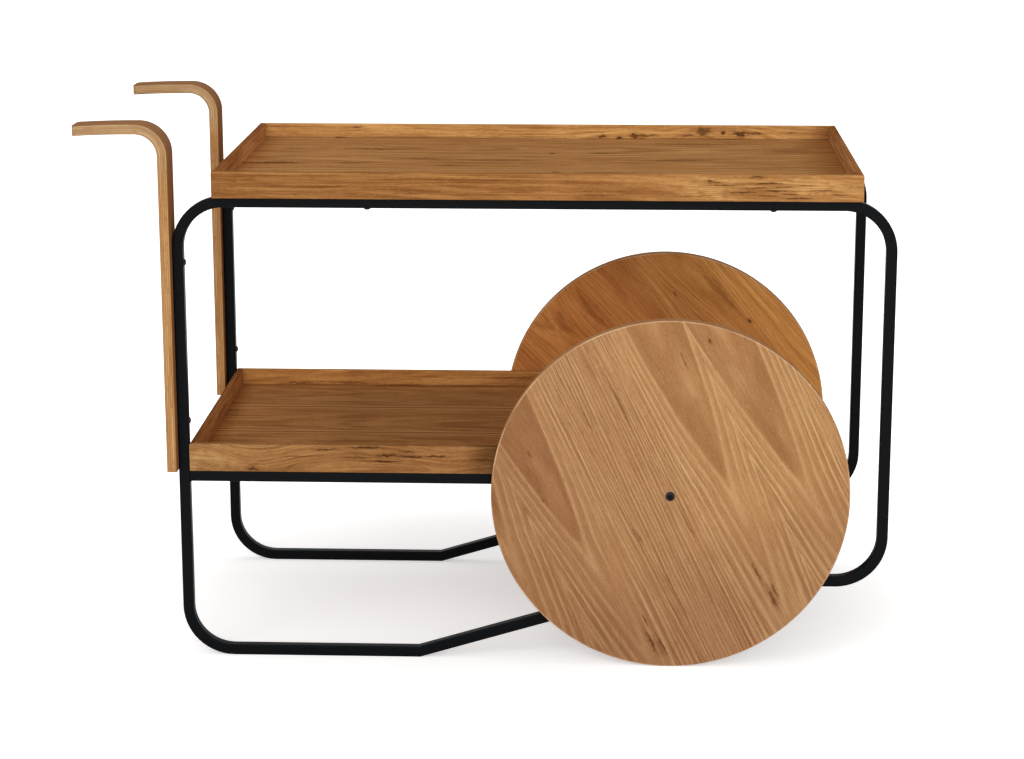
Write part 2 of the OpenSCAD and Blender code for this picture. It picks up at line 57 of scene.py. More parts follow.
class Graph:
    """A material's node tree, with short calls that add a node and give back its output."""

    def __init__(self, name):
        self.material = bpy.data.materials.new(name)
        self.material.use_nodes = True
        self.nodes = self.material.node_tree.nodes
        self.links = self.material.node_tree.links
        self.nodes.clear()

    def feed(self, socket, value):
        """Links an output to the socket, or sets the socket to a number or a colour."""
        if isinstance(value, bpy.types.NodeSocket):
            self.links.new(value, socket)
        elif socket.type == "RGBA":
            socket.default_value = (*value, 1.0)
        else:
            socket.default_value = value

    def math(self, operation, *values):
        node = self.nodes.new("ShaderNodeMath")
        node.operation = operation
        for socket, value in zip(node.inputs, values):
            self.feed(socket, value)
        return node.outputs[0]

    def add(self, a, b):
        return self.math("ADD", a, b)

    def sub(self, a, b):
        return self.math("SUBTRACT", a, b)

    def mul(self, a, b):
        return self.math("MULTIPLY", a, b)

    def hypot(self, a, b):
        return self.math("SQRT", self.add(self.mul(a, a), self.mul(b, b)))

    def smooth(self, value, low, high):
        """0 below low, 1 above high, and a smooth step between. With low above high it falls instead."""
        node = self.nodes.new("ShaderNodeMapRange")
        node.interpolation_type = "SMOOTHSTEP"
        for socket, given in zip(node.inputs, (value, low, high, 0.0, 1.0)):
            self.feed(socket, given)
        return node.outputs[0]

    def bell(self, *offsets):
        """1 where all offsets are 0, falling smoothly towards 0 as any of them passes 1."""
        total = self.math("POWER", offsets[0], 2.0)
        for offset in offsets[1:]:
            total = self.add(total, self.math("POWER", offset, 2.0))
        return self.math("EXPONENT", self.mul(total, -1.0))

    def vector(self, x, y, z):
        node = self.nodes.new("ShaderNodeCombineXYZ")
        for socket, value in zip(node.inputs, (x, y, z)):
            self.feed(socket, value)
        return node.outputs[0]

    def noise(self, vector, detail=2.0, roughness=0.5):
        """Soft noise from 0 to 1, about one bump for each unit of the vector."""
        node = self.nodes.new("ShaderNodeTexNoise")
        self.feed(node.inputs["Vector"], vector)
        node.inputs["Scale"].default_value = 1.0
        node.inputs["Detail"].default_value = detail
        node.inputs["Roughness"].default_value = roughness
        return node.outputs["Fac"]

    def bumps(self, place, sizes, detail=2.0):
        """Noise whose bumps have these sizes, in mm, along the three directions of place."""
        return self.noise(self.vector(*(self.mul(at, 1 / size) for at, size in zip(place, sizes))), detail)

    def streaks(self, u, v, layer, length, width, shift, detail=2.0, roughness=0.5):
        """Noise drawn out along the grain, in streaks of this length and width in mm.

        shift and layer pick out another part of the same noise."""
        at = self.vector(self.mul(u, 1 / length), self.add(self.mul(v, 1 / width), shift), layer)
        return self.noise(at, detail, roughness)

    def fibres(self, u, v, w, length, width, shift, detail=2.0, roughness=0.5):
        """Streaks that are as thick, into the wood, as they are wide."""
        return self.streaks(u, v, self.mul(w, 1 / width), length, width, shift, detail, roughness)

    def chance(self, value):
        """A random number from 0 to 1 that is fixed for each value."""
        node = self.nodes.new("ShaderNodeTexWhiteNoise")
        node.noise_dimensions = "1D"
        self.feed(node.inputs["W"], value)
        return node.outputs["Value"]

    def blend(self, share, first, second, how="MIX"):
        """Colour between first and second, by share."""
        node = self.nodes.new("ShaderNodeMix")
        node.data_type = "RGBA"
        node.blend_type = how
        colours = [s for s in node.inputs if s.type == "RGBA"]
        self.feed(node.inputs[0], share)
        self.feed(colours[0], first)
        self.feed(colours[1], second)
        return next(s for s in node.outputs if s.type == "RGBA")

    def gained(self, share, colour, gain):
        """Colour with its red, green and blue multiplied by a gain, by share."""
        return self.blend(share, colour, self.blend(1.0, colour, gain, "MULTIPLY"))

    def place(self, origin):
        """x, y and z of the shaded point on its unmoved piece, in millimetres from an origin in metres."""
        coords = self.nodes.new("ShaderNodeTexCoord").outputs["Object"]
        shift = self.nodes.new("ShaderNodeVectorMath")
        shift.operation = "SUBTRACT"
        self.feed(shift.inputs[0], coords)
        shift.inputs[1].default_value = origin
        scale = self.nodes.new("ShaderNodeVectorMath")
        scale.operation = "SCALE"
        self.feed(scale.inputs[0], shift.outputs[0])
        scale.inputs["Scale"].default_value = 1.0 / MM
        split = self.nodes.new("ShaderNodeSeparateXYZ")
        self.feed(split.inputs[0], scale.outputs[0])
        return split.outputs[0], split.outputs[1], split.outputs[2]

    def bump(self, height, distance_mm):
        node = self.nodes.new("ShaderNodeBump")
        node.inputs["Strength"].default_value = 1.0
        node.inputs["Distance"].default_value = distance_mm * MM
        self.feed(node.inputs["Height"], height)
        return node.outputs[0]

    def finish(self, colour, roughness, normal, **settings):
        """The surface shader. Settings are its own sockets, such as Metallic or Specular_IOR_Level."""
        shader = self.nodes.new("ShaderNodeBsdfPrincipled")
        self.feed(shader.inputs["Base Color"], colour)
        self.feed(shader.inputs["Roughness"], roughness)
        self.feed(shader.inputs["Normal"], normal)
        for name, value in settings.items():
            shader.inputs[name.replace("_", " ")].default_value = value
        output = self.nodes.new("ShaderNodeOutputMaterial")
        self.links.new(shader.outputs[0], output.inputs["Surface"])
        return self.material


def dress(node, material):
    """Gives one CAD node its finish."""
    slots = NODES[node].data.materials
    if not slots:
        slots.append(material)
    for index in range(len(slots)):
        slots[index] = material


def middle(node):
    """The middle of a node's box, in metres."""
    low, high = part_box(node)
    return (low + high) / 2


# Wood

# Share of gloss of the wood: seen at a low angle, any gloss would veil its oiled faces
GLOSS = 0.0

# Tones of the wood, as linear colours: base light, base dark, late growth, pale growth, knots and marks
HONEY = {"light": (0.48, 0.235, 0.085), "dark": (0.36, 0.155, 0.052), "late": (0.22, 0.085, 0.027),
         "pale": (0.60, 0.33, 0.125), "mark": (0.070, 0.024, 0.008)}
FLOOR = {"light": (0.36, 0.165, 0.062), "dark": (0.265, 0.112, 0.040), "late": (0.165, 0.062, 0.021),
         "pale": (0.43, 0.215, 0.085), "mark": (0.055, 0.022, 0.009)}
VENEER = {"light": (0.49, 0.265, 0.120), "dark": (0.40, 0.195, 0.080), "late": (0.27, 0.115, 0.042),
          "pale": (0.60, 0.365, 0.175), "mark": (0.135, 0.045, 0.016)}
# AMBER_BOUNCE is the rear wheel's veneer made more orange than VENEER, a painted warm bounce light on the
# same veneer
AMBER_BOUNCE = {"light": (0.56, 0.245, 0.080), "dark": (0.42, 0.160, 0.048), "late": (0.26, 0.088, 0.025),
         "pale": (0.66, 0.330, 0.110), "mark": (0.085, 0.034, 0.014)}
STRIP = {"light": (0.52, 0.300, 0.135), "dark": (0.42, 0.215, 0.090), "late": (0.28, 0.120, 0.045),
         "pale": (0.62, 0.390, 0.190), "mark": (0.10, 0.042, 0.018)}

# A gain that leaves a colour as it is
SAME = (1.0, 1.0, 1.0)

# Growth: how far two centres merge, in mm, and the share of the sway that short ripples have
PITH_MERGE = 16.0
PITH_RIPPLE = 0.22

# Sliced veneer: the short ripples' share of the sway, how blunt a tongue's tip is and how far two tongues
# merge, in mm, how the opening slows behind the tip, the density of lines inside a tongue, and the distance
# from a tongue beyond which lines crowd, and by how much
VENEER_RIPPLE = 0.35
TIP_BLUNT = 5.0
TONGUE_MERGE = 8.0
TONGUE_TAPER = 0.4
LINES_INSIDE = 0.16
CROWD_FROM = 50.0
CROWD_BY = 1.2

# A growth ring runs from 0 to 1. Its late growth rises slowly and stops short, and its pale start does the
# opposite. Each pair is where a step starts and where it ends. RING_FADE is a step on slow noise, and fades a
# ring here and there along its length
LATE_RISE = (0.15, 0.88)
LATE_STOP = (1.0, 0.90)
EARLY_RISE = (0.02, 0.10)
EARLY_FALL = (0.50, 0.20)
RING_FADE = (0.20, 0.60)
LATE_STRENGTH = 0.80

# Layers of streaks, from broad to fine: length and width in mm, shift of the noise and its detail. late and
# pale say how it darkens the wood where it is high, and pales it where it is low: start, full and strength
BROAD = {"size": (190, 12), "shift": 15, "detail": 2.0,
         "late": (0.50, 0.70, 0.55), "pale": (0.48, 0.30, 0.45)}
STREAK = {"size": (90, 3.6), "shift": 6, "detail": 2.0,
          "late": (0.50, 0.66, 0.50), "pale": (0.47, 0.32, 0.42)}
LINE = {"size": (170, 2.0), "shift": 12, "detail": 1.0,
        "late": (0.56, 0.66, 0.45), "pale": (0.44, 0.35, 0.40)}
FIBRE = {"size": (30, 1.3), "shift": 0, "detail": 2.0,
         "late": (0.46, 0.70, 0.30), "pale": (0.46, 0.28, 0.22)}
GRIT = {"size": (5, 2.0), "shift": 0, "detail": 3.0,
        "late": (0.50, 0.75, 0.28), "pale": (0.48, 0.28, 0.28)}
GRIT_ROUGHNESS = 0.6
PORE_STRENGTH = 0.45

# The grain bends round a knot over this many of its half lengths and half widths, by this many half widths
KNOT_REACH = (3.5, 2.2)
KNOT_BEND = 2.4

# A mark's soft edge and its core: start, full and strength
MARK_EDGE = (1.5, 0.8, 0.4)
MARK_CORE = (0.8, 0.45, 1.0)
PATCH_EDGE = (1.1, 0.3)


def turned(g, first, second, degrees):
    """Two axes turned together: the first one points at the given angle from the old first axis."""
    c = math.cos(math.radians(degrees))
    s = math.sin(math.radians(degrees))
    return g.add(g.mul(first, c), g.mul(second, s)), g.sub(g.mul(second, c), g.mul(first, s))


def growth(g, u, v, w, piths, sway, seed):
    """Distance in mm to the nearest growth centre, bent by slow noise. Its level lines are the grain.

    A pith is (place across, depth below the surface, change of that depth along the grain)."""
    drift = g.fibres(u, v, w, 420, 120, seed, detail=1.0)
    ripple = g.fibres(u, v, w, 110, 26, seed)
    bent = g.add(v, g.mul(g.sub(drift, 0.5), 2 * sway))
    field = None
    for across, depth, rise in piths:
        below = g.add(g.add(g.mul(u, rise), depth), w)
        distance = g.hypot(g.sub(bent, across), below)
        field = distance if field is None else g.math("SMOOTH_MIN", field, distance, PITH_MERGE)
    return g.add(field, g.mul(g.sub(ripple, 0.5), PITH_RIPPLE * sway))


def veneer_figure(g, u, v, tongues, sway, seed):
    """Level lines of sliced veneer: straight along u, and closing to a point at each tongue.

    A tongue is (place along of its tip, place across, opening, reach across, lean). Opening is how fast its
    half width grows away from the tip. Lines are few and faint inside a tongue, and they crowd far off."""
    drift = g.streaks(u, v, seed, 520, 150, seed, detail=1.0)
    ripple = g.streaks(u, v, seed, 120, 24, seed)
    bends = g.add(g.mul(g.sub(drift, 0.5), 2 * sway), g.mul(g.sub(ripple, 0.5), VENEER_RIPPLE * sway))
    bent = g.add(v, bends)
    field = None
    for tip, across, opening, reach, lean in tongues:
        past = g.sub(u, tip)
        aside = g.sub(g.sub(bent, across), g.mul(past, lean))
        near = g.bell(g.mul(aside, 1 / reach))
        rise = g.math("MINIMUM", g.mul(past, opening), g.mul(past, TONGUE_TAPER * opening))
        distance = g.add(g.sub(g.hypot(aside, TIP_BLUNT), TIP_BLUNT), g.mul(rise, near))
        field = distance if field is None else g.math("SMOOTH_MIN", field, distance, TONGUE_MERGE)
    crowded = g.mul(g.math("MAXIMUM", g.sub(field, CROWD_FROM), 0.0), CROWD_BY)
    outside = g.add(g.math("MAXIMUM", field, 0.0), crowded)
    return g.add(outside, g.mul(g.math("MINIMUM", field, 0.0), LINES_INSIDE))


def spot(g, u, v, mark, seed):
    """How near the middle of an uneven oval a point is: 0 there, and about 1 at the oval's edge.

    The oval is (along, across, half length, half width)."""
    along, across, half_length, half_width = mark[:4]
    wave = g.noise(g.vector(g.add(g.mul(u, 1 / 11), seed), g.mul(v, 1 / 9), seed))
    bent = g.add(v, g.mul(g.sub(wave, 0.5), 2.4 * half_width))
    ragged = g.noise(g.vector(g.add(g.mul(u, 3.4 / half_length), seed), g.mul(v, 2.6 / half_width), seed),
                     detail=3.0)
    reach = g.hypot(g.mul(g.sub(u, along), 1 / half_length), g.mul(g.sub(bent, across), 1 / half_width))
    return g.add(reach, g.mul(g.sub(ragged, 0.5), 1.9))


def scaled(tones, gain):
    """The same tones, with red, green and blue each multiplied by a gain. Marks stay dark."""
    changed = {name: tuple(c * k for c, k in zip(colour, gain)) for name, colour in tones.items()}
    changed["mark"] = tones["mark"]
    return changed


def graded(g, colour, place, stops):
    """Colour multiplied by a gain that changes smoothly between stops of (place in mm, gain)."""
    gain = stops[0][1]
    for (start, _), (end, following) in zip(stops, stops[1:]):
        gain = g.blend(g.smooth(place, start, end), gain, following)
    return g.blend(1.0, colour, gain, "MULTIPLY")


def mottled(g, colour, noise, layer, strength, tones, fine=None):
    """Colour with a layer's streaks: darker where the noise is high, and paler where it is low.

    fine, where there is one, makes them fainter from place to place."""
    for tone in ("late", "pale"):
        start, full, share = layer[tone]
        amount = g.mul(g.smooth(noise, start, full), share * strength)
        if fine is not None:
            amount = g.mul(amount, fine)
        colour = g.blend(amount, colour, tones[tone])
    return colour


def wood_colour(g, u, v, w, field, tones, period, seed, contrast=1.0, even=0.18, pore=1.0, lines=1.0,
                bands=0.6, early_pale=0.45, calm=None, coarse=0.0, across=None, knots=(), marks=(),
                patches=()):
    """Colour, and height for the bump, of wood whose grain runs along u and follows the level lines of field.

    period is the mean width of a growth ring in mm, contrast the strength of the rings, and even the share of
    it that all rings have. pore, lines and coarse are the strengths of pores, of thin lines and of broad
    streaks, bands of pale bands, and early_pale of a ring's pale start. calm is the range of field over which
    the fine streaks grow from faint to full. across is v with the bends of the grain in it. A knot, mark or
    patch is (along, across, half length, half width, strength). The grain bends round a knot and not round a
    mark, and a patch is paler."""
    side = v if across is None else across
    for along, beside, half_length, half_width, _ in knots:
        near = g.bell(g.mul(g.sub(u, along), 1 / (KNOT_REACH[0] * half_length)),
                      g.mul(g.sub(v, beside), 1 / (KNOT_REACH[1] * half_width)))
        field = g.add(field, g.mul(near, KNOT_BEND * half_width))

    # Rings, of uneven width and strength
    crowd = g.noise(g.vector(g.mul(field, 1 / (4.5 * period)), seed, 0.0), detail=1.0)
    rings = g.add(g.mul(field, 1 / period), g.mul(crowd, 1.9))
    phase = g.math("FRACT", rings)
    strong = g.chance(g.add(g.math("FLOOR", rings), seed))
    fade = g.smooth(g.fibres(u, side, w, 150, 30, seed + 4, detail=1.0), *RING_FADE)
    late = g.mul(g.smooth(phase, *LATE_RISE), g.smooth(phase, *LATE_STOP))
    late = g.mul(late, g.add(even, g.mul(g.mul(strong, strong), 1.0 - even)))
    late = g.mul(late, fade)
    early = g.mul(g.smooth(phase, *EARLY_RISE), g.smooth(phase, *EARLY_FALL))
    early = g.mul(early, g.mul(g.add(even, g.mul(strong, 1.0 - even)), fade))

    # Base tone in bands and clouds, then the rings on it
    band = g.streaks(u, field, seed + 2, 420, 11, seed)
    cloud = g.fibres(u, v, w, 150, 55, seed + 9, detail=1.0)
    tone = g.add(g.mul(band, 0.75), g.mul(cloud, 0.45))
    colour = g.blend(g.smooth(tone, 0.36, 0.80), tones["dark"], tones["light"])
    pale = g.mul(g.smooth(band, 0.52, 0.72), g.smooth(cloud, 0.35, 0.65))
    colour = g.blend(g.mul(pale, bands), colour, tones["pale"])
    colour = g.blend(g.mul(early, early_pale * contrast), colour, tones["pale"])
    colour = g.blend(g.mul(late, LATE_STRENGTH * contrast), colour, tones["late"])
    for number, patch in enumerate(patches):
        inside = g.smooth(spot(g, u, v, patch, seed + 40 + number), *PATCH_EDGE)
        colour = g.blend(g.mul(inside, patch[4]), colour, tones["pale"])

    # Streaks, from broad to fine, and pores
    if coarse:
        broad = g.streaks(u, side, 0.0, *BROAD["size"], seed + BROAD["shift"], BROAD["detail"])
        colour = mottled(g, colour, broad, BROAD, coarse, tones)
    fine = g.add(0.25, g.mul(g.smooth(field, *calm), 0.75)) if calm else None
    for layer, place, strength in ((STREAK, field, pore), (LINE, side, lines)):
        noise = g.fibres(u, place, w, *layer["size"], seed + layer["shift"], layer["detail"])
        colour = mottled(g, colour, noise, layer, strength, tones, fine)
    fibre = g.fibres(u, side, w, *FIBRE["size"], seed + FIBRE["shift"], FIBRE["detail"])
    grit = g.fibres(u, v, w, *GRIT["size"], seed + GRIT["shift"], GRIT["detail"], GRIT_ROUGHNESS)
    pit = g.smooth(g.fibres(u, side, w, 17, 1.5, seed + 3, detail=1.0), 0.60, 0.70)
    colour = mottled(g, colour, fibre, FIBRE, pore, tones)
    colour = mottled(g, colour, grit, GRIT, pore, tones)
    colour = g.blend(g.mul(pit, PORE_STRENGTH * pore), colour, tones["late"])

    for number, mark in enumerate(tuple(knots) + tuple(marks)):
        near = spot(g, u, v, mark, seed + number)
        for (start, full, share), tone in ((MARK_EDGE, "late"), (MARK_CORE, "mark")):
            colour = g.blend(g.mul(g.smooth(near, start, full), share * mark[4]), colour, tones[tone])
    height = g.sub(g.mul(fibre, 0.5), g.add(g.mul(pit, 0.8), g.mul(late, 0.25)))
    return colour, height


def oiled(g, colour, height, roughness=0.46, bump_mm=0.05):
    """Satin oiled wood: the pores are duller than the wood between them."""
    dull = g.add(roughness + 0.04, g.mul(height, -0.10))
    return g.finish(colour, dull, g.bump(height, bump_mm), Specular_IOR_Level=GLOSS)


# Trays

# At a board's seam, the pale band, a painted highlight of the eased edge, and the dark band, the joint line
# with
# painted shade in it: start and full in mm from the edge, and strength
SEAM_HIGHLIGHT = (12.0, 8.0, 0.6)
SEAM_DARK = (4.5, 2.0, 0.55)

# At a rail: how deep its inner face and its top face reach, the top face getting a painted shade, and where
# the painted shade line at its foot starts and is full above the floor, in mm, with the strengths of that
# line and of the top's outer edge
INNER_DEPTH = (1.2, 0.6)
TOP_SHADE_DEPTH = (1.6, 0.6)
FOOT_SHADE = (2.8, 1.6, 0.45)
LIP_EDGE = 0.5


def inner_side(g, node, axis, w):
    """1 on the face of a rail that looks into the tray, and 0 elsewhere. axis is the one through the rail."""
    low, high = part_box(node)
    index = "xyz".index(axis)
    half = (high - low)[index] / MM / 2
    inward = -1.0 if (low + high)[index] > 0 else 1.0
    return g.smooth(g.mul(w, inward), half - INNER_DEPTH[0], half - INNER_DEPTH[1])


def plank(node, axes, tones, piths, sway, seed, seams=(), stops=(), dips=(), lip=None, floor=None, shade=None,
          **figure):
    """Solid wood for a straight piece. axes names the directions along, across and into the grain.

    seams names the long edges, -1 or 1 across the grain, where a dark joint line with painted shade shows,
    with a pale painted highlight beside it. stops are gains along the grain, and a dip of the grain is (place
    along, reach, depth). lip is the gain of a rail's top face, a painted shade, floor names the board that a
    painted shade line follows at the rail's foot, and shade is (start, end, gain) along the inner face, a
    painted shade near a corner."""
    g = Graph("wood_" + node)
    place = dict(zip("xyz", g.place(middle(node))))
    u, v, w = (place[axis] for axis in axes)
    across = v
    for centre, reach, depth in dips:
        across = g.add(across, g.mul(g.bell(g.mul(g.sub(u, centre), 1 / reach)), depth))
    field = growth(g, u, across, w, piths, sway, seed)
    colour, height = wood_colour(g, u, v, w, field, tones, seed=seed, across=across, **figure)
    low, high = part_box(node)
    half_width = (high - low)["xyz".index(axes[1])] / MM / 2
    # A seam's pale band is a painted highlight of the eased edge, and its dark band is the joint line with
    # painted shade in it
    for side in seams:
        from_edge = g.add(g.mul(v, -side), half_width)
        for (start, full, share), tone in ((SEAM_HIGHLIGHT, "pale"), (SEAM_DARK, "mark")):
            colour = g.blend(g.mul(g.smooth(from_edge, start, full), share), colour, tones[tone])
    if stops:
        colour = graded(g, colour, u, stops)
    # Painted shade: the lip gain darkens the rail's top face, and a darker line then runs along the top's
    # outer edge
    if lip:
        top = g.smooth(v, half_width - TOP_SHADE_DEPTH[0], half_width - TOP_SHADE_DEPTH[1])
        colour = g.gained(top, colour, lip)
        outer = g.smooth(inner_side(g, node, axes[2], g.mul(w, -1.0)), 0.0, 0.2)
        colour = g.blend(g.mul(g.mul(top, outer), LIP_EDGE), colour, tones["mark"])
    # Painted shade on the inner face, growing towards a corner
    if shade:
        share = g.mul(inner_side(g, node, axes[2], w), g.smooth(u, *shade[:2]))
        colour = g.gained(share, colour, shade[2])
    # Painted shade: a dark line on the inner face just above the floor, where the rail meets it
    if floor:
        foot = (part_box(floor)[1].z - middle(node).z) / MM
        start, full, strength = FOOT_SHADE
        share = g.mul(inner_side(g, node, axes[2], w), g.smooth(v, foot + start, foot + full))
        colour = g.blend(g.mul(share, strength), colour, tones["mark"])
    dress(node, oiled(g, colour, height))


def dress_top_tray():
    plank("top_rail_front", "xzy", tones=HONEY, piths=[(-26.0, 34.0, 0.03)], period=6.5, sway=9.0, seed=2.0,
          contrast=0.7, patches=[(250.0, 0.0, 60.0, 16.0, 0.7), (390.0, 4.0, 60.0, 14.0, 0.8)],
          stops=[(-330.0, (0.66, 0.58, 0.49)), (-20.0, (0.74, 0.65, 0.54)), (140.0, (0.80, 0.73, 0.64)),
                 (260.0, (0.98, 0.98, 0.91))],
          knots=[(247.8, 10.7, 10.0, 2.4, 0.8), (315.0, 16.0, 14.0, 2.0, 0.75)],
          marks=[(330.0, 7.0, 26.0, 1.6, 0.8), (343.0, -4.0, 30.0, 1.7, 0.8), (295.0, -6.2, 26.0, 1.5, 0.8),
                 (373.0, -14.2, 28.0, 1.7, 0.8), (405.0, -3.0, 26.0, 1.3, 0.7),
                 (-300.0, -1.0, 36.0, 1.5, 0.5), (268.0, 4.0, 20.0, 1.3, 0.7), (430.0, -9.0, 16.0, 1.3, 0.6),
                 (-60.0, 9.0, 30.0, 1.2, 0.4), (90.0, -11.0, 34.0, 1.2, 0.4), (-180.0, -10.0, 30.0, 1.2, 0.4),
                 (352.0, 2.0, 24.0, 1.2, 0.75), (318.0, 0.5, 20.0, 1.2, 0.7), (385.0, 4.0, 18.0, 1.2, 0.6),
                 (360.0, -8.5, 20.0, 1.3, 0.7), (330.0, -11.0, 22.0, 1.2, 0.6), (256.0, 8.0, 16.0, 1.3, 0.7),
                 (225.0, -12.0, 24.0, 1.2, 0.5)])
    # Its shade gain paints the shade in the corner by the wheel-end rail
    plank("top_rail_rear", "xzy", floor="top_board_rear", shade=(420.0, 458.0, (0.62, 0.55, 0.48)),
          tones=scaled(HONEY, (1.32, 1.42, 1.32)), piths=[(30.0, 26.0, -0.02)], period=7.0,
          sway=7.0, seed=5.0, contrast=0.75,
          knots=[(90.5, 0.2, 10.0, 3.2, 0.85), (142.2, 2.2, 10.0, 6.0, 0.85), (253.4, 9.4, 18.0, 7.0, 0.7),
                 (313.0, 6.5, 16.0, 6.0, 0.85), (285.6, 8.0, 5.5, 3.2, 0.9), (-335.0, -5.0, 16.0, 3.4, 0.75)],
          marks=[(118.0, -1.2, 7.0, 2.6, 0.95), (160.0, 2.6, 26.0, 2.4, 0.7), (337.0, 7.2, 22.0, 2.2, 0.7),
                 (-307.0, 13.8, 14.0, 1.8, 0.75), (395.0, 8.0, 10.0, 1.6, 0.6), (230.0, 3.0, 16.0, 2.0, 0.6)])
    # The lip gains of both end rails are painted shade on their top faces
    plank("top_rail_handle_end", "yzx", tones=scaled(HONEY, (1.16, 1.00, 0.95)), piths=[(12.0, 40.0, 0.02)],
          period=6.0, sway=6.0, seed=8.0, contrast=0.5, lip=(0.52, 0.46, 0.42))
    plank("top_rail_wheel_end", "yzx", tones=scaled(HONEY, (1.05, 0.98, 1.0)), piths=[(-20.0, 30.0, 0.03)],
          period=6.0, sway=6.0, seed=11.0, contrast=0.5, lip=(0.60, 0.52, 0.48))
    # The boards' stops at both ends darken the floor towards the end rails, a painted shade
    boards = {"tones": scaled(FLOOR, (1.20, 1.22, 1.12)), "coarse": 1.1, "contrast": 0.9, "lines": 1.4,
              "stops": [(-448.0, (0.92, 0.82, 0.72)), (-415.0, SAME), (385.0, SAME),
                        (450.0, (0.74, 0.64, 0.53))]}
    plank("top_board_front", "xyz", seams=(1,), piths=[(-10.0, 70.0, 0.05)], period=7.0, sway=14.0, seed=14.0,
          marks=[(24.0, 73.0, 9.0, 8.0, 0.85), (-290.0, 26.0, 70.0, 9.0, 0.5), (90.0, 66.0, 60.0, 9.0, 0.35)],
          **boards)
    plank("top_board_middle", "xyz", seams=(-1, 1), piths=[(30.0, 60.0, -0.04)], period=6.5, sway=12.0,
          seed=17.0,
          marks=[(-410.0, -12.0, 60.0, 9.0, 0.8), (-290.0, -8.0, 40.0, 8.0, 0.45),
                 (-186.0, 35.0, 40.0, 9.0, 0.5), (-139.0, -32.0, 24.0, 8.0, 0.5),
                 (-70.0, 24.0, 80.0, 8.0, 0.4), (210.0, 30.0, 90.0, 8.0, 0.4)],
          **boards)
    plank("top_board_rear", "xyz", seams=(-1, 1), piths=[(-30.0, 80.0, 0.06)], period=6.5, sway=14.0,
          seed=20.0,
          marks=[(14.0, -70.0, 8.0, 8.0, 0.85), (-270.0, -30.0, 50.0, 10.0, 0.55),
                 (95.0, -66.0, 34.0, 9.0, 0.5), (250.0, 40.0, 110.0, 8.0, 0.35)],
          **boards)


def dress_lower_tray():
    plank("lower_rail_front", "xzy", tones=HONEY, piths=[(-10.0, 26.0, 0.085)],
          dips=[(-352.0, 62.0, 17.0), (-70.0, 60.0, 9.0)], period=6.0, sway=10.0, seed=23.0,
          contrast=0.9, patches=[(-420.0, -4.0, 40.0, 18.0, 0.5)],
          # From -48 mm on, the last stop is a painted shadow of the front wheel, which stands in front of
          # this end of the rail
          stops=[(-410.0, (0.86, 0.90, 0.92)), (-300.0, (0.76, 0.75, 0.73)), (-160.0, (0.75, 0.72, 0.69)),
                 (-48.0, (0.75, 0.72, 0.69)), (-12.0, (0.44, 0.41, 0.40))],
          knots=[(-357.2, -16.6, 14.0, 3.6, 0.8), (-157.0, 5.8, 24.0, 3.0, 0.85),
                 (150.0, -4.0, 14.0, 3.0, 0.7)],
          marks=[(-189.4, 17.6, 34.0, 2.0, 0.8), (-123.0, 4.7, 24.0, 2.4, 0.9), (-84.8, 5.1, 22.0, 2.0, 0.85),
                 (-161.6, -3.4, 32.0, 2.0, 0.85), (-203.0, 2.2, 30.0, 1.6, 0.6), (-18.0, 1.0, 26.0, 3.0, 0.5),
                 (-250.0, 14.0, 22.0, 2.0, 0.6), (-290.0, 3.0, 30.0, 1.5, 0.45),
                 (-130.0, 12.0, 20.0, 1.8, 0.6)])
    plank("lower_rail_rear", "xzy", floor="lower_board_rear", tones=scaled(HONEY, (1.09, 1.00, 0.81)),
          piths=[(20.0, 30.0, 0.04)], period=6.0, sway=8.0, seed=26.0, contrast=0.8,
          marks=[(-343.0, -1.7, 40.0, 2.4, 0.65), (-260.0, -0.8, 50.0, 2.0, 0.6),
                 (-177.0, -5.0, 40.0, 2.0, 0.6), (5.0, 10.0, 50.0, 2.2, 0.5)])
    # The lip gain is painted shade on the rail's top face
    plank("lower_rail_handle_end", "yzx", tones=scaled(HONEY, (1.08, 0.93, 0.86)),
          piths=[(-12.0, 36.0, 0.03)], period=6.0, sway=6.0, seed=29.0, contrast=0.5, lip=(0.58, 0.52, 0.50))
    plank("lower_rail_wheel_end", "yzx", tones=HONEY, piths=[(14.0, 34.0, 0.02)], period=6.0, sway=6.0,
          seed=32.0, contrast=0.7)
    # The boards' stop at the handle end is a painted shade where the floor meets the end rail
    boards = {"tones": scaled(FLOOR, (1.27, 1.24, 1.13)), "coarse": 0.8, "contrast": 0.8, "lines": 1.3,
              "stops": [(-438.0, (0.88, 0.76, 0.64)), (-405.0, SAME)]}
    plank("lower_board_front", "xyz", seams=(1,), piths=[(20.0, 90.0, 0.04)], period=7.5, sway=12.0,
          seed=35.0, **boards)
    plank("lower_board_middle", "xyz", seams=(-1, 1), piths=[(-26.0, 70.0, -0.05)], period=7.0, sway=12.0,
          seed=38.0, marks=[(-437.0, 52.0, 30.0, 5.0, 0.5), (-426.0, 20.0, 24.0, 4.0, 0.5)], **boards)
    plank("lower_board_rear", "xyz", seams=(-1,), piths=[(24.0, 60.0, 0.05)], period=6.5, sway=12.0,
          seed=41.0, patches=[(-60.0, 62.0, 420.0, 7.0, 0.7)], **boards)


# Wheels

VENEER_T = 0.7
PLY_COUNT = 9
PLY_DARK = (0.36, 0.175, 0.075)
PLY_LIGHT = (0.54, 0.30, 0.140)
PLY_GLUE = (0.15, 0.065, 0.028)

# Inside a tongue and far from one: where on the figure it starts and is full, and its gain
TONGUE_TINT = (3.0, -4.0, (0.93, 0.89, 0.87))
FAR_TINT = (60.0, 85.0, (0.95, 0.93, 0.92))

# The sanded line round the rim: start and full in mm from the edge, strength and colour
SANDED_EDGE = (2.4, 1.2)
SANDED_STRENGTH = 0.7
SANDED = (0.74, 0.49, 0.29)


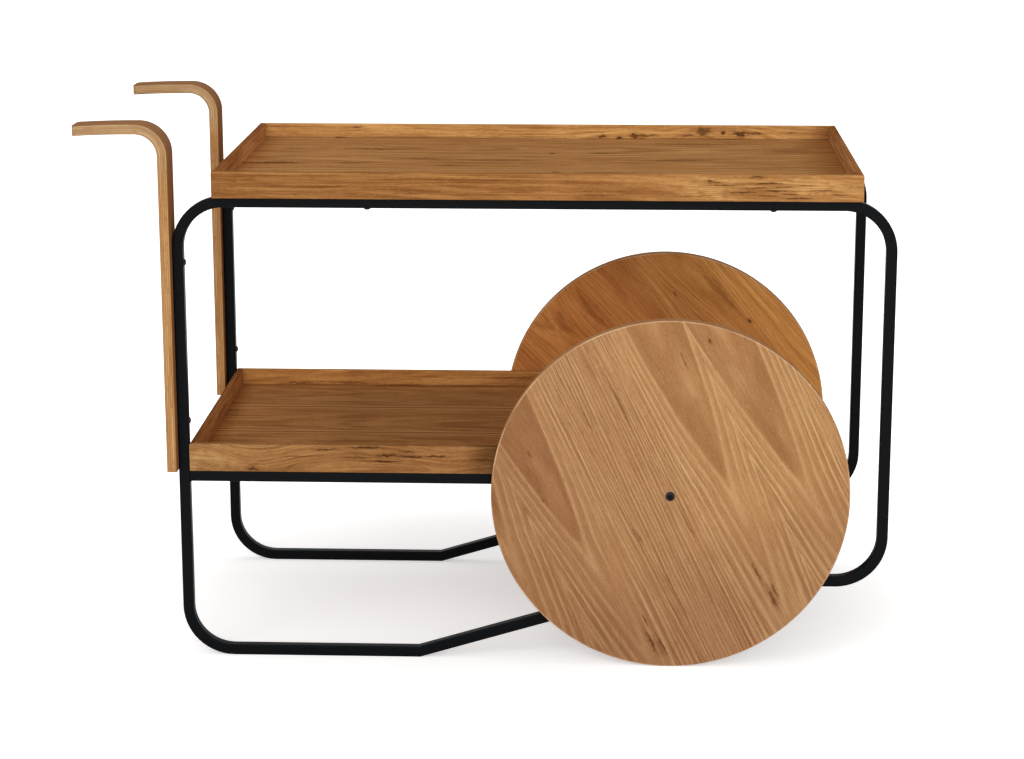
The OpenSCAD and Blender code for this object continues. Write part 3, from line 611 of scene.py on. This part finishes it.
def plies(g, face, depth, x, z):
    """Veneer colour at both faces, and the layers of the core where the edge shows them."""
    step = (WHEEL_T - 2 * VENEER_T) / PLY_COUNT
    layer = g.mul(g.sub(depth, VENEER_T), 1 / step)
    tone = g.chance(g.math("FLOOR", layer))
    grain = g.bumps((x, z, depth), (5, 5, 0.5))
    core = g.blend(g.add(g.mul(tone, 0.75), g.mul(grain, 0.25)), PLY_DARK, PLY_LIGHT)
    glue = g.smooth(g.math("PINGPONG", layer, 0.5), 0.07, 0.0)
    core = g.blend(g.mul(glue, 0.5), core, PLY_GLUE)
    inside = g.mul(g.smooth(depth, VENEER_T - 0.1, VENEER_T + 0.1),
                   g.smooth(depth, WHEEL_T - VENEER_T + 0.1, WHEEL_T - VENEER_T - 0.1))
    return g.blend(inside, face, core)


def disc(node, grain_angle, tongues, sway, seed, stops, leaf=None, fades=(), **figure):
    """Veneered plywood disc, with plies at the rim. The grain's angle is the one seen from the front.

    leaf is (place of a joint across the grain, shift along, shift across): beyond the joint the next leaf of
    the same veneer repeats the figure. stops are gains across the grain, and fades are gains along it."""
    g = Graph("wood_" + node)
    low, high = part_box(node)
    centre = (low + high) / 2
    x, depth, z = g.place((centre.x, low.y, centre.z))
    u, v = turned(g, x, z, grain_angle)
    along, across = u, v
    if leaf:
        beyond = g.math("LESS_THAN", v, leaf[0])
        along = g.add(u, g.mul(beyond, leaf[1]))
        across = g.add(v, g.mul(beyond, leaf[2]))
    field = veneer_figure(g, along, across, tongues, sway, seed)
    face, height = wood_colour(g, u, v, 0.0, field, seed=seed, **figure)
    face = graded(g, face, v, stops)
    if fades:
        face = graded(g, face, u, fades)
    for start, full, gain in (TONGUE_TINT, FAR_TINT):
        face = g.gained(g.smooth(field, start, full), face, gain)
    edge = (high.z - low.z) / MM / 2
    worn = g.noise(g.vector(g.mul(x, 1 / 70), g.mul(z, 1 / 70), seed))
    near_edge = g.smooth(g.hypot(x, z), edge - SANDED_EDGE[0], edge - SANDED_EDGE[1])
    sanded = g.mul(near_edge, g.smooth(worn, 0.25, 0.65))
    face = g.blend(g.mul(sanded, SANDED_STRENGTH), face, SANDED)
    dress(node, oiled(g, plies(g, face, depth, x, z), height, bump_mm=0.04))


def dress_wheels():
    disc("wheel_front", -63.0, tones=VENEER, leaf=(-61.0, 60.0, 331.0),
         tongues=[(12.0, 83.0, 0.21, 60.0, -0.04), (64.0, 184.0, 0.21, 60.0, 0.03)],
         period=11.5, sway=7.0, seed=50.0, contrast=1.2, even=0.35, lines=0.6, early_pale=0.9,
         calm=(5.0, 70.0), bands=0.35,
         stops=[(-200.0, (0.79, 0.75, 0.75)), (-60.0, (0.94, 0.94, 0.96)), (110.0, (1.01, 1.03, 1.00))],
         fades=[(60.0, SAME), (130.0, (0.93, 0.91, 0.93)), (190.0, (0.87, 0.84, 0.87))],
         marks=[(-160.0, -3.0, 40.0, 3.5, 0.35), (-156.0, -58.0, 28.0, 2.6, 0.4),
                (-228.0, -65.0, 20.0, 2.0, 0.35), (30.0, -71.0, 24.0, 2.5, 0.4), (50.0, 4.0, 40.0, 2.2, 0.4),
                (-148.0, -156.0, 8.0, 2.0, 0.5), (-182.9, 153.8, 6.0, 2.6, 0.8),
                (-181.4, 108.3, 7.0, 1.6, 0.6), (-168.1, 107.1, 8.0, 1.2, 0.7),
                (160.0, 62.8, 22.0, 2.2, 0.75), (196.0, 73.6, 16.0, 2.2, 0.85),
                (208.0, 66.0, 20.0, 3.4, 0.75), (203.0, 70.0, 24.0, 8.0, 0.25),
                (155.0, -117.0, 14.0, 1.8, 0.75), (188.0, -124.0, 24.0, 2.8, 0.85),
                (202.0, -111.5, 22.0, 2.2, 0.8), (199.0, -118.0, 26.0, 8.0, 0.25),
                (35.4, -67.8, 14.0, 1.8, 0.45), (-76.4, -169.5, 5.0, 2.0, 0.5),
                (206.9, 32.6, 6.0, 3.0, 0.3), (206.3, -90.6, 5.0, 3.0, 0.25)])
    # Its tones paint warm bounce light into the same veneer as the front wheel
    disc("wheel_rear", -47.0, tones=AMBER_BOUNCE,
         tongues=[(-150.0, -30.0, 0.12, 60.0, 0.0), (60.0, 190.0, 0.12, 60.0, 0.0),
                  (-20.0, 95.0, 0.14, 50.0, 0.0)],
         period=7.5, sway=9.0, seed=61.0, contrast=0.9, lines=0.5, pore=0.75,
         stops=[(0.0, (1.20, 1.08, 0.95)), (130.0, (1.08, 1.03, 0.96)), (210.0, (1.28, 1.33, 1.18))],
         knots=[(-221.3, -27.9, 34.0, 15.0, 0.16), (-204.2, 22.4, 40.0, 14.0, 0.2)],
         marks=[(-15.5, 203.6, 7.0, 3.0, 0.85), (-131.7, 143.3, 7.0, 2.0, 0.6),
                (-90.0, 200.0, 80.0, 9.0, 0.25)])


# Handles

HANDLE_LAYERS = 5

# From one layer to the next: how far the fine grain and the growth centre shift, in mm
LAYER_SHIFT = 40.0
LAYER_RISE = 8.0

# The outer and inner broad faces: gains, and how deep they reach from full to none, in mm. The inner face's
# gain is a painted shade
OUTER_FACE = (0.64, 0.50, 0.47)
OUTER_DEPTH = (0.4, 1.3)
INNER_FACE_SHADE = (0.76, 0.66, 0.60)
INNER_REACH = (0.8, 1.6)

# Glue lines: how far they reach, as a share of a layer, and the band of each face that they stay out of
GLUE_LINE = (0.20, 0.05)
GLUE_CLEAR = (0.2, 0.8)


def bent_axes(g, node, side):
    """Along, across and through a bent handle: arc length, place across, and depth from its outer face."""
    low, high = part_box(node)
    face_x = high.x / MM
    mid_r = HANDLE_BEND_R + HANDLE_T / 2
    bend_x = face_x - HANDLE_T - HANDLE_BEND_R
    bend_z = high.z / MM - HANDLE_T - HANDLE_BEND_R
    x, y, z = g.place((bend_x * MM, (low.y + high.y) / 2, bend_z * MM))
    upright = g.math("LESS_THAN", z, 0.0)
    grip = g.math("LESS_THAN", x, 0.0)
    around = g.sub(g.hypot(x, z), mid_r)
    beside = g.sub(x, mid_r)
    above = g.sub(g.hypot(x, g.add(z, GRIP_FALL_R - mid_r)), GRIP_FALL_R)
    through = g.add(around, g.add(g.mul(upright, g.sub(beside, around)), g.mul(grip, g.sub(above, around))))
    bend_u = g.mul(g.math("ARCTAN2", z, x), mid_r)
    grip_u = g.sub(mid_r * math.pi / 2, x)
    u = g.add(bend_u, g.add(g.mul(upright, g.sub(z, bend_u)), g.mul(grip, g.sub(grip_u, bend_u))))
    return u, g.mul(y, side), g.sub(HANDLE_T / 2, through)


def dress_handles():
    """Laminated strips: layers with their own tone and fibre, thin glue lines, a darker outer broad face and
    painted shade on the inner one.
    """
    for node, side, seed in (("handle_front", 1, 70.0), ("handle_rear", -1, 76.0)):
        g = Graph("wood_" + node)
        u, v, depth = bent_axes(g, node, side)
        layer = g.mul(depth, 1 / (HANDLE_T / HANDLE_LAYERS))
        number = g.math("FLOOR", layer)
        tone = g.chance(g.add(number, seed))
        w = g.mul(number, LAYER_SHIFT)
        field = growth(g, u, v, g.mul(number, LAYER_RISE), [(36.0, 24.0, 0.03)], 5.0, seed)
        colour, height = wood_colour(g, u, v, w, field, STRIP, period=7.0, seed=seed, even=0.4, coarse=0.6)
        colour = g.blend(g.mul(tone, 0.6), colour, STRIP["dark"])
        off_middle = g.math("ABSOLUTE", g.sub(depth, HANDLE_T / 2))
        glue = g.mul(g.smooth(g.math("PINGPONG", layer, 0.5), *GLUE_LINE),
                     g.smooth(off_middle, HANDLE_T / 2 - GLUE_CLEAR[0], HANDLE_T / 2 - GLUE_CLEAR[1]))
        colour = g.blend(g.mul(glue, 0.8), colour, STRIP["late"])
        # Painted shade on the inner broad face
        inner = g.smooth(depth, HANDLE_T - INNER_REACH[1], HANDLE_T - INNER_REACH[0])
        colour = g.gained(inner, colour, INNER_FACE_SHADE)
        colour = g.gained(g.smooth(depth, OUTER_DEPTH[1], OUTER_DEPTH[0]), colour, OUTER_FACE)
        colour = graded(g, colour, u, [(-60.0, (1.0, 1.0, 0.9)), (40.0, (1.04, 1.24, 1.44))])
        dress(node, oiled(g, colour, height, roughness=0.40, bump_mm=0.04))


# Metal and plastic

SOCKET_R = 3.7
SOCKET_SOFT = 0.3


def powder_coat(name, colour, roughness, specular, socket=None):
    """Black powder coat with fine orange peel and a few duller patches.

    socket is the middle, in metres, of a round recess along Y that is painted black as its shade."""
    g = Graph(name)
    place = g.place((0, 0, 0))
    peel = g.bumps(place, (0.9, 0.9, 0.9), detail=1.0)
    patch = g.bumps(place, (40, 40, 40), detail=3.0)
    tint = g.blend(patch, colour, tuple(1.5 * c for c in colour))
    if socket:
        # Painted shade: the socket's recess is painted black
        x, _, z = g.place(socket)
        socket_shade = g.smooth(g.hypot(x, z), SOCKET_R + SOCKET_SOFT, SOCKET_R - SOCKET_SOFT)
        tint = g.blend(socket_shade, tint, (0.0, 0.0, 0.0))
    return g.finish(tint, g.add(roughness, g.mul(g.sub(patch, 0.5), 0.12)), g.bump(peel, 0.02),
                    Specular_IOR_Level=specular)


def turned_metal(name, colour, roughness):
    """Bright turned metal with fine tool marks round the Y axis."""
    g = Graph(name)
    lines = g.bumps(g.place((0, 0, 0)), (6, 0.15, 6))
    return g.finish(colour, g.add(roughness, g.mul(lines, 0.12)), g.bump(lines, 0.01), Metallic=1.0)


def moulded(name, colour, roughness):
    """Moulded plastic with a faint spark-eroded grain."""
    g = Graph(name)
    grain = g.bumps(g.place((0, 0, 0)), (0.4, 0.4, 0.4))
    tint = g.blend(grain, colour, tuple(0.9 * c for c in colour))
    return g.finish(tint, roughness, g.bump(grain, 0.015))


def dress_metal():
    """Gives the other nodes the finish of their slot in the record, and returns all finishes by slot."""
    finishes = {
        "frame_paint": powder_coat("frame_paint", (0.0018, 0.0022, 0.0028), 0.42, 0.05),
        "black_fastener": powder_coat("black_fastener", (0.022, 0.015, 0.012), 0.5, 0.10,
                                      socket=middle("hub_bolt_front")),
        "plain_steel": turned_metal("plain_steel", (0.60, 0.60, 0.61), 0.28),
        "brass": turned_metal("brass", (0.72, 0.52, 0.24), 0.30),
        "bush_plastic": moulded("bush_plastic", (0.36, 0.21, 0.115), 0.45),
        "black_plastic": moulded("black_plastic", (0.012, 0.012, 0.012), 0.5),
    }
    for part in frame["record"]["subparts"]:
        if part["material_slot"] in finishes:
            dress(part["node"], finishes[part["material_slot"]])
    return finishes


# Weld beads, which the frame's solids don't have

# Radius, step along the bead and spacing of its ripples, in mm, then the sides of the bead's section and how
# many times its corners are rounded off
BEAD_R = 1.7
BEAD_STEP = 0.45
BEAD_RIPPLE = 1.9
BEAD_SIDES = 10
CORNER_ROUNDS = 5

# A direction that no bead runs along, so that a ring of points can be set out square to the bead
BEAD_UP = (0.37, 0.61, 0.70)


def walk(corners):
    """Points every BEAD_STEP along a line of corners, in mm, with each corner cut round."""
    points = []
    for start, end in zip(corners, corners[1:]):
        count = max(1, round((end - start).length / BEAD_STEP))
        points += [start.lerp(end, step / count) for step in range(count)]
    points.append(corners[-1])
    for _ in range(CORNER_ROUNDS):
        inner = [(a + 2 * b + c) / 4 for a, b, c in zip(points, points[1:], points[2:])]
        points = [points[0]] + inner + [points[-1]]
    return points


def bead_radius(along, length, number):
    """Radius at a place along a bead: rippled, a little uneven, and domed at both ends."""
    dome = math.sqrt(max(0.0, 1.0 - max(0.0, 1.0 - min(along, length - along) / BEAD_R) ** 2))
    lobe = abs(math.sin(math.pi * along / BEAD_RIPPLE + number))
    wander = math.sin(along * 0.37 + 2.1 * number) + math.sin(along * 0.83 + number)
    return BEAD_R * max(dome, 0.12) * (0.88 + 0.14 * lobe + 0.04 * wander)


def add_bead(shape, corners, number):
    """A fillet bead along the corners, as a closed tube of rings."""
    points = walk([Vector(corner) for corner in corners])
    length = BEAD_STEP * (len(points) - 1)
    rings = []
    for index, point in enumerate(points):
        ahead = points[min(index + 1, len(points) - 1)] - points[max(index - 1, 0)]
        side = ahead.cross(Vector(BEAD_UP)).normalized()
        over = side.cross(ahead).normalized()
        radius = bead_radius(BEAD_STEP * index, length, number)
        ring = []
        for k in range(BEAD_SIDES):
            angle = 2 * math.pi * k / BEAD_SIDES
            at = point + radius * (math.cos(angle) * side + math.sin(angle) * over)
            ring.append(shape.verts.new(at * MM))
        rings.append(ring)
    for first, second in zip(rings, rings[1:]):
        for k in range(BEAD_SIDES):
            following = (k + 1) % BEAD_SIDES
            shape.faces.new((first[k], first[following], second[following], second[k]))
    shape.faces.new(rings[0][::-1])
    shape.faces.new(rings[-1])


def corners_mm(node):
    """A node's lowest and highest corners, in mm."""
    return (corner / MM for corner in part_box(node))


def outer_to_inner(low, high):
    """The outer and inner place of a box across the cart, and a step of 2 mm towards the middle."""
    outer, inner = (low.y, high.y) if high.y < 0 else (high.y, low.y)
    return outer, inner, 2.0 if inner > outer else -2.0


def cross_tube_path(node, end):
    """Round the two sides and the underside of a cross tube's end. Its top lies under the tray."""
    low, high = corners_mm(node)
    y = (low.y + 0.6) if end < 0 else (high.y - 0.6)
    left, right, under = low.x - 0.5, high.x + 0.5, low.z - 0.3
    return [(left, y, high.z - 2.5), (left, y, under), (right, y, under), (right, y, high.z - 2.5)]


def post_path(node, top):
    """Round three sides of a post's end. Its outer side is ground flush."""
    low, high = corners_mm(node)
    z = (high.z - 0.6) if top else (low.z + 0.6)
    outer, inner, step = outer_to_inner(low, high)
    left, right = low.x - 0.4, high.x + 0.4
    start, inside = outer + 1.5 * step, inner + 0.2 * step
    return [(left, start, z), (left, inside, z), (right, inside, z), (right, start, z)]


def shelf_bar_path(node):
    """Down the inner side and along the underside of a shelf bar's end, where it meets the leg."""
    low, high = corners_mm(node)
    outer, inner, step = outer_to_inner(low, high)
    x, under = low.x + 0.6, low.z - 0.4
    inside = inner + 0.2 * step
    return [(x, inside, high.z - 3.0), (x, inside, under), (x, outer + 1.3 * step, under)]


def axle_paths(node, bar):
    """Both sides of the line where the axle touches a shelf bar's underside."""
    low, high = corners_mm(node)
    bar_low, bar_high = corners_mm(bar)
    middle_x = (low.x + high.x) / 2
    return [[(x, bar_low.y + 2.4, bar_low.z - 1.1), (x, bar_high.y - 0.6, bar_low.z - 1.1)]
            for x in (middle_x - 5.4, middle_x + 5.4)]


def add_welds(material):
    for name, end in (("front", -1), ("rear", 1)):
        paths = [cross_tube_path(tube + number, end) for tube in ("top_cross_tube_", "shelf_cross_tube_")
                 for number in ("1", "2")]
        paths += [post_path("post_" + name, top) for top in (False, True)]
        paths.append(shelf_bar_path("shelf_bar_" + name))
        paths += axle_paths("axle_tube", "shelf_bar_" + name)
        shape = bmesh.new()
        for number, corners in enumerate(paths):
            add_bead(shape, corners, number)
        bmesh.ops.recalc_face_normals(shape, faces=shape.faces)
        for face in shape.faces:
            face.smooth = True
        mesh = bpy.data.meshes.new("weld_beads_" + name)
        shape.to_mesh(mesh)
        shape.free()
        beads = bpy.data.objects.new("weld_beads_" + name, mesh)
        bpy.context.scene.collection.objects.link(beads)
        mesh.materials.append(material)
        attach(beads, "cart")


# Surroundings

# The photograph's view: place in metres, and pitch down, roll and turn in radians
CAMERA_PLACE = (0.1918, -3.8729, 1.2978)
CAMERA_PITCH = 0.2349
CAMERA_ROLL = 0.0009
CAMERA_TURN = 0.042
FOCAL_MM = 90.03
SENSOR_MM = 36.0
FAR_CLIP = 50.0

# The floor: half its side in metres, its own grey, its glow near the cart, and what far off adds to that. The
# glow rises between two distances in mm, and a place across the cart counts as GLOW_STRETCH times as far
FLOOR_HALF = 12.0
FLOOR_GREY = 0.82
FLOOR_GLOW = 0.46
FAR_GLOW = 0.6
GLOW_RISE = (420.0, 1250.0)
GLOW_STRETCH = 1.15

# What the world gives to everything but the camera and reflections, which see it white
WORLD_LIGHT = 0.42

# Lamps: name, place and size in metres, and watts. All look at one point
LAMP_AIM = (0.0, 0.0, 0.35)
LAMPS = [
    ("key", (-1.6, -2.9, 2.3), (2.4, 1.8), 42.0),
    ("front", (0.5, -4.3, 1.7), (2.8, 2.0), 66.0),
    ("fill", (2.6, -2.6, 1.5), (2.0, 2.0), 14.0),
    ("top", (0.0, 0.2, 3.4), (3.0, 2.4), 28.0),
]


def add_camera():
    data = bpy.data.cameras.new("camera")
    data.lens = FOCAL_MM
    data.sensor_width = SENSOR_MM
    data.sensor_fit = "HORIZONTAL"
    data.clip_end = FAR_CLIP
    camera = bpy.data.objects.new("camera", data)
    camera.location = CAMERA_PLACE
    camera.rotation_euler = (math.pi / 2 - CAMERA_PITCH, CAMERA_ROLL, CAMERA_TURN)
    bpy.context.scene.collection.objects.link(camera)
    bpy.context.scene.camera = camera


def add_floor():
    """A pale floor that stays white to the camera and keeps a soft shadow."""
    half = FLOOR_HALF
    mesh = bpy.data.meshes.new("floor")
    corners = [(-half, -half, 0), (half, -half, 0), (half, half, 0), (-half, half, 0)]
    mesh.from_pydata(corners, [], [(0, 1, 2, 3)])
    floor = bpy.data.objects.new("floor", mesh)
    bpy.context.scene.collection.objects.link(floor)
    g = Graph("pale_floor")
    rays = g.nodes.new("ShaderNodeLightPath")
    seen = g.math("MAXIMUM", rays.outputs["Is Camera Ray"],
                  g.math("MAXIMUM", rays.outputs["Is Glossy Ray"], rays.outputs["Is Transmission Ray"]))
    diffuse = g.nodes.new("ShaderNodeBsdfDiffuse")
    diffuse.inputs["Color"].default_value = (FLOOR_GREY, FLOOR_GREY, FLOOR_GREY, 1.0)
    glow = g.nodes.new("ShaderNodeEmission")
    x, y, _ = g.place((0.0, 0.0, 0.0))
    away = g.smooth(g.hypot(x, g.mul(y, GLOW_STRETCH)), *GLOW_RISE)
    g.feed(glow.inputs["Strength"], g.mul(seen, g.add(FLOOR_GLOW, g.mul(away, FAR_GLOW))))
    both = g.nodes.new("ShaderNodeAddShader")
    g.links.new(diffuse.outputs[0], both.inputs[0])
    g.links.new(glow.outputs[0], both.inputs[1])
    output = g.nodes.new("ShaderNodeOutputMaterial")
    g.links.new(both.outputs[0], output.inputs["Surface"])
    mesh.materials.append(g.material)


def add_world():
    """White to the camera and in reflections, and a plain grey-white light for everything else."""
    world = bpy.data.worlds.new("studio")
    world.use_nodes = True
    tree = world.node_tree
    background = tree.nodes["Background"]
    rays = tree.nodes.new("ShaderNodeLightPath")
    seen = tree.nodes.new("ShaderNodeMath")
    seen.operation = "MAXIMUM"
    tree.links.new(rays.outputs["Is Camera Ray"], seen.inputs[0])
    shiny = tree.nodes.new("ShaderNodeMath")
    shiny.operation = "MAXIMUM"
    tree.links.new(rays.outputs["Is Glossy Ray"], shiny.inputs[0])
    tree.links.new(rays.outputs["Is Transmission Ray"], shiny.inputs[1])
    tree.links.new(shiny.outputs[0], seen.inputs[1])
    level = tree.nodes.new("ShaderNodeMapRange")
    level.inputs["To Min"].default_value = WORLD_LIGHT
    level.inputs["To Max"].default_value = 1.0
    tree.links.new(seen.outputs[0], level.inputs["Value"])
    tree.links.new(level.outputs[0], background.inputs["Strength"])
    background.inputs["Color"].default_value = (1.0, 1.0, 1.0, 1.0)
    bpy.context.scene.world = world


def add_lamps():
    for name, place, (width, height), watts in LAMPS:
        data = bpy.data.lights.new(name, "AREA")
        data.shape = "RECTANGLE"
        data.size = width
        data.size_y = height
        data.energy = watts
        lamp = bpy.data.objects.new(name, data)
        lamp.location = place
        lamp.rotation_euler = (Vector(LAMP_AIM) - Vector(place)).to_track_quat("-Z", "Y").to_euler()
        bpy.context.scene.collection.objects.link(lamp)


add_camera()
add_world()
add_floor()
add_lamps()
dress_top_tray()
dress_lower_tray()
dress_wheels()
dress_handles()
add_welds(dress_metal()["frame_paint"])

bpy.context.scene.view_settings.view_transform = "Standard"
bpy.context.view_layer.update()
